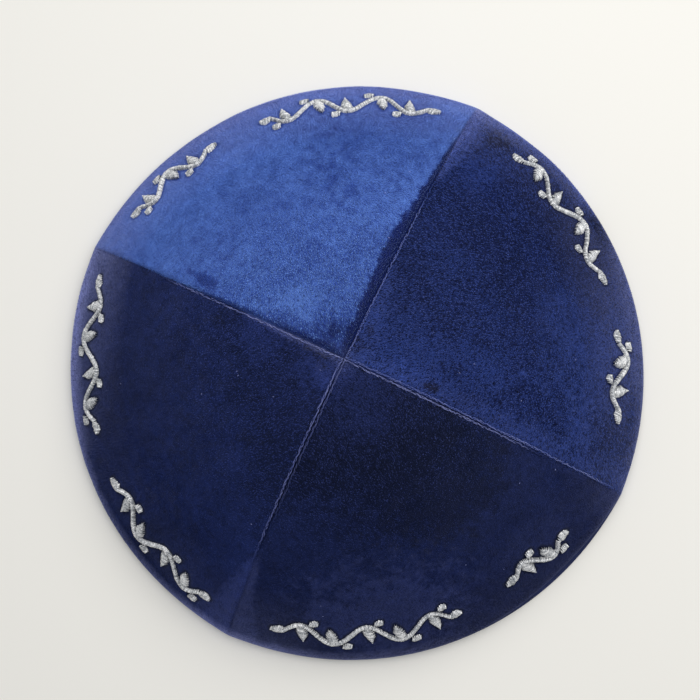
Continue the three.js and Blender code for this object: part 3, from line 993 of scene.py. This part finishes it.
def satin_stitches(path, width, rng):
    """Both ends of each thread laid across a path on the band. Width is a function of 0 to 1."""
    steps = np.linalg.norm(np.diff(path, axis=0), axis=1)
    along = np.concatenate([[0], np.cumsum(steps)])
    count = max(int(along[-1] / THREAD_PITCH), 3)
    at = (np.arange(count) + 0.5) / count
    middle = np.stack([np.interp(at * along[-1], along, path[:, k]) for k in (0, 1)], -1)
    direction = np.gradient(middle, axis=0)
    direction /= np.linalg.norm(direction, axis=1, keepdims=True)
    c, s = math.cos(RIGHT_ANGLE - STITCH_SLANT), math.sin(RIGHT_ANGLE - STITCH_SLANT)
    x, y = direction[:, 0], direction[:, 1]
    across = np.stack([c * x - s * y, s * x + c * y], -1)
    reach = width(at)[:, None] / 2 * (1 + STITCH_JITTER * rng.uniform(-1, 1, (count, 2)))
    return np.stack([middle - across * reach[:, :1], middle + across * reach[:, 1:]], 1)


def vine_width(at):
    return VINE_WIDTH * (1 - VINE_TAPER + VINE_TAPER * np.sin(math.pi * at))


def leaf_width(at):
    return LEAF_WIDTH * np.maximum(np.sin(math.pi * at**LEAF_ROUNDNESS) ** LEAF_ROUNDNESS, LEAF_TIP)


def berry_width(at):
    return BERRY_WIDTH * np.maximum(np.sqrt(np.maximum(1 - (2 * at - 1) ** 2, 0)), BERRY_END)


def straight(start, angle, length):
    end = start + length * np.array([math.cos(angle), math.sin(angle)])
    return np.linspace(start, end, STRAIGHT_POINTS)


def spray_stitches(reach, rng):
    """The stitches of a spray in band coordinates: x along the rim from its middle, y to the crown."""
    bays = round(2 * reach / BAY_LENGTH)
    bay = 2 * reach / bays
    x = np.linspace(-reach, reach, BAY_POINTS * bays)
    sway = VINE_SWAY * np.sin(math.pi * (x + reach) / bay)
    stitches = [satin_stitches(np.stack([x, sway], -1), vine_width, rng)]
    for k in range(bays):
        turn = 1 if k % 2 == 0 else -1
        crest = np.array([-reach + (k + 0.5) * bay, turn * VINE_SWAY])
        leaf = straight(crest, -turn * RIGHT_ANGLE + LEAF_LEAN, LEAF_LENGTH)
        stitches.append(satin_stitches(leaf, leaf_width, rng))
        berry = straight(crest + np.array([BERRY_PLACE * bay, turn * BERRY_GAP / 2]), 0, BERRY_WIDTH)
        stitches.append(satin_stitches(berry, berry_width, rng))
    for end, angle in ((-reach, math.pi), (reach, 0)):
        bud = straight(np.array([end, 0]), angle, BUD_LENGTH)
        stitches.append(satin_stitches(bud, leaf_width, rng))
    return np.concatenate(stitches)


def gore_stitches(quarter):
    """Both ends of each stitch on a gore, in band coordinates with x from the gore's middle."""
    rng = np.random.default_rng(STITCH_SEED + quarter)
    middle = 90 * quarter + 45
    stitches = []
    for start, end in SPRAYS[2 * quarter : 2 * quarter + 2]:
        reach = math.radians(end - start) * BAND_RADIUS / 2 - BUD_LENGTH
        place = math.radians((start + end) / 2 - middle) * BAND_RADIUS
        stitches.append(spray_stitches(reach, rng) + np.array([place, 0]))
    return np.concatenate(stitches)


def stitch_distance(stitches, azimuth, length):
    """How far each place on a gore is from the nearest stitch."""
    samples = [stitches[:, 0] * (1 - t) + stitches[:, 1] * t for t in STITCH_SAMPLES]
    samples = np.concatenate(samples)
    tree = kdtree.KDTree(len(samples))
    for k, (x, y) in enumerate(samples):
        tree.insert((x, y, 0), k)
    tree.balance()
    x = (np.mod(azimuth, RIGHT_ANGLE) - RIGHT_ANGLE / 2) * BAND_RADIUS
    y = BAND_LENGTH - length
    return np.array(
        [tree.find((a, b, 0))[2] if abs(b) < BAND_RISE else FAR_FROM_STITCHES for a, b in zip(x, y)]
    )


def band_place(points, middle, lift):
    """Points of the band, in the row's frame, lifted off the velvet."""
    azimuth = middle + points[..., 0] / BAND_RADIUS
    return cap_points(azimuth, BAND_LENGTH - points[..., 1], -lift)


def make_embroidery(quarter, ends):
    """Each stitch is a thread that comes up through the velvet, arches over and goes down again."""
    rng = np.random.default_rng(THREAD_SEED + quarter)
    middle = (quarter + 0.5) * RIGHT_ANGLE
    count = len(ends)
    t = np.linspace(0, 1, THREAD_STATIONS)
    flat = ends[:, :1] + (ends[:, 1:] - ends[:, :1]) * t[:, None]
    rise = STITCH_RISE * (1 + STITCH_RISE_SPREAD * rng.uniform(-1, 1, (count, 1)))
    lift = -STITCH_SINK + (rise + STITCH_SINK) * np.sin(math.pi * t) ** STITCH_ARCH
    centre = band_place(flat, middle, lift)
    up = unit(band_place(flat, middle, lift + MM) - centre)
    side = unit(np.cross(up, np.gradient(centre, axis=1)))
    turns = 2 * math.pi * np.arange(THREAD_SIDES) / THREAD_SIDES
    points = (
        centre[:, :, None]
        + side[:, :, None] * (THREAD_WIDTH / 2 * np.cos(turns))[:, None]
        + up[:, :, None] * (THREAD_HEIGHT / 2 * np.sin(turns))[:, None]
    )
    faces = []
    per_thread = THREAD_STATIONS * THREAD_SIDES
    for start in range(0, count * per_thread, per_thread):
        rings = start + np.arange(per_thread).reshape(THREAD_STATIONS, THREAD_SIDES)
        closed = np.concatenate([rings, rings[:, :1]], 1)
        for above, below in zip(closed, closed[1:]):
            faces += row_faces(above, below)
        faces += [rings[0], rings[-1][::-1]]
    embroidery = mesh_object(GORES[quarter]["name"].replace("gore", "embroidery"), points, faces)
    # A painted glint for each thread, lighter or darker at random
    write_attribute(embroidery, "glint", np.repeat(rng.uniform(0, 1, count), per_thread))
    return embroidery


def thread_material():
    """Silver metallic thread, with a fine painted glint along each stitch and from thread to thread."""
    n = Nodes("silver_thread")
    place = n.add("ShaderNodeTexCoord").outputs["Object"]
    fleck = n.noise(place, THREAD_GLINT_SIZE, 2.0, 0.6)
    along_thread = n.spread(fleck, 0.35, 0.65, -0.1, 0.75)
    between_threads = n.spread(n.attribute("glint"), 0, 1, -0.2, 0.4)
    tone = n.math("ADD", along_thread, between_threads, clamp=True)
    colour = n.mix(tone, (0.26, 0.28, 0.31, 1), (1.0, 1.0, 1.0, 1))
    bump = n.add("ShaderNodeBump", {"Strength": 0.6, "Distance": THREAD_RELIEF, "Height": fleck})
    n.set(Base_Color=colour, Metallic=0.25, Roughness=0.3, Normal=bump.outputs[0])
    return n.material


def write_ground_nap(velvet, quarter, stitches):
    """Writes the nap on a gore's mesh: over its outside, which comes first, and fading round its fold."""
    share, turn = quarter_grid(OUTSIDE_CELLS)
    azimuth = (quarter * RIGHT_ANGLE + turn).reshape(-1)
    length = (share * GORE_LENGTH).reshape(-1)
    free = smoothstep(stitch_distance(stitches, azimuth, length), STITCH_COVER, STITCH_PRESS_REACH)
    tone, sheen_and_lint = nap_at(azimuth, length)
    tone = tone + seam_shade(azimuth, length) + STITCH_SHADE * (1 - free)
    calm = calm_at(quarter, length)
    tone = tone + GROUND_TONE * (1 - calm) - CALM_SHADE * calm
    edge = grid_ring(OUTSIDE_CELLS)
    turned = np.linspace(1, 0, 2 * FOLD_STEPS)[:, None]
    for name, outside in (("nap", tone), ("sheen_and_lint", sheen_and_lint * free)):
        folds = (outside[edge] * turned).reshape(-1)
        rest = len(velvet.data.vertices) - len(outside) - len(folds)
        write_attribute(velvet, name, np.concatenate([outside, folds, np.zeros(rest)]))


def dress(obj, slot, *materials):
    for material in materials:
        obj.data.materials.append(material)
    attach(obj, "root")


def paint_backing(velvet):
    """Inside, the velvet's woven back shows, apart from the turned hem."""
    mesh = velvet.data
    outside_faces = OUTSIDE_CELLS**2
    fold_faces = (2 * FOLD_STEPS) * 2 * OUTSIDE_CELLS
    joining_faces = 3 * 2 * INSIDE_CELLS
    inside_start = outside_faces + fold_faces + joining_faces
    cell = np.arange(INSIDE_CELLS)
    share = (np.maximum(*np.meshgrid(cell, cell, indexing="ij")) + 0.5) / INSIDE_CELLS
    index = np.zeros(len(mesh.polygons), dtype=np.int32)
    index[inside_start : inside_start + INSIDE_CELLS**2] = (share < HEM_STATION).reshape(-1)
    mesh.polygons.foreach_set("material_index", index)


def build_cap():
    backing = backing_material()
    thread = thread_material()
    for quarter, gore in enumerate(GORES):
        middle = (quarter + 0.5) * RIGHT_ANGLE
        velvet = make_gore(quarter)
        stitches = gore_stitches(quarter)
        write_ground_nap(velvet, quarter, stitches)
        dress(velvet, "blue_velvet", velvet_material("ground", gore, middle), backing)
        paint_backing(velvet)
        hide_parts(gore["name"])
        dress(make_pile(quarter, stitches), "blue_velvet", velvet_material("pile", gore, middle))
        dress(make_embroidery(quarter, stitches), "silver_thread", thread)


# Stage

FLOOR_HALF = 3.0


def make_floor():
    corners = [(x * FLOOR_HALF, y * FLOOR_HALF, 0) for x, y in ((-1, -1), (1, -1), (1, 1), (-1, 1))]
    floor = mesh_object("floor", corners, [[0, 1, 2, 3]])
    n = Nodes("pale_floor")
    n.set(Base_Color=(0.85, 0.835, 0.785, 1), Roughness=0.7, Specular_IOR_Level=0.2)
    floor.data.materials.append(n.material)


def aimed(location, target, up):
    """Placement of a camera or light that looks from a location at a target."""
    back = (Vector(location) - Vector(target)).normalized()
    right = up.cross(back).normalized()
    rotation = Matrix((right, back.cross(right), back)).transposed()
    return Matrix.Translation(location) @ rotation.to_4x4()


def make_camera():
    data = bpy.data.cameras.new("camera")
    data.sensor_width = SENSOR_WIDTH_MM
    data.lens = SENSOR_WIDTH_MM * FOCAL_PX / FRAME_PX
    data.clip_start = 0.01
    foot = Vector((math.cos(CAMERA_FOOT_AZIMUTH), math.sin(CAMERA_FOOT_AZIMUTH), 0))
    direction = foot * math.sin(CAMERA_TILT) + Vector((0, 0, math.cos(CAMERA_TILT)))
    up = Vector((math.cos(PICTURE_UP_AZIMUTH), math.sin(PICTURE_UP_AZIMUTH), 0))
    camera = linked_object("camera", data)
    camera.matrix_world = aimed(CAMERA_TARGET + direction * CAMERA_DISTANCE, CAMERA_TARGET, up)
    bpy.context.scene.camera = camera


# The lamp's place, from the middle of the cap. Its azimuth is counted leftwards from picture right.
LAMP_AZIMUTH = PICTURE_UP_AZIMUTH - RIGHT_ANGLE + math.radians(58)
LAMP_ELEVATION = math.radians(66)
LAMP_DISTANCE = 0.62
LAMP_SIZE = 0.8
LAMP_WATTS = 3.8


def make_lights():
    world = bpy.data.worlds.new("room")
    world.use_nodes = True
    room = world.node_tree.nodes["Background"]
    room.inputs["Color"].default_value = (0.95, 0.97, 1.0, 1)
    room.inputs["Strength"].default_value = 0.4
    bpy.context.scene.world = world

    data = bpy.data.lights.new("window", "AREA")
    data.shape = "DISK"
    data.size = LAMP_SIZE
    data.energy = LAMP_WATTS
    data.color = (1.0, 0.99, 0.975)
    level = LAMP_DISTANCE * math.cos(LAMP_ELEVATION)
    height = LAMP_DISTANCE * math.sin(LAMP_ELEVATION)
    place = Vector((level * math.cos(LAMP_AZIMUTH), level * math.sin(LAMP_AZIMUTH), height))
    lamp = linked_object("window", data)
    lamp.matrix_world = aimed(place, (0, 0, 0), Vector((0, 0, 1)))


build_cap()
make_floor()
make_camera()
make_lights()
bpy.context.scene.view_settings.view_transform = "Standard"
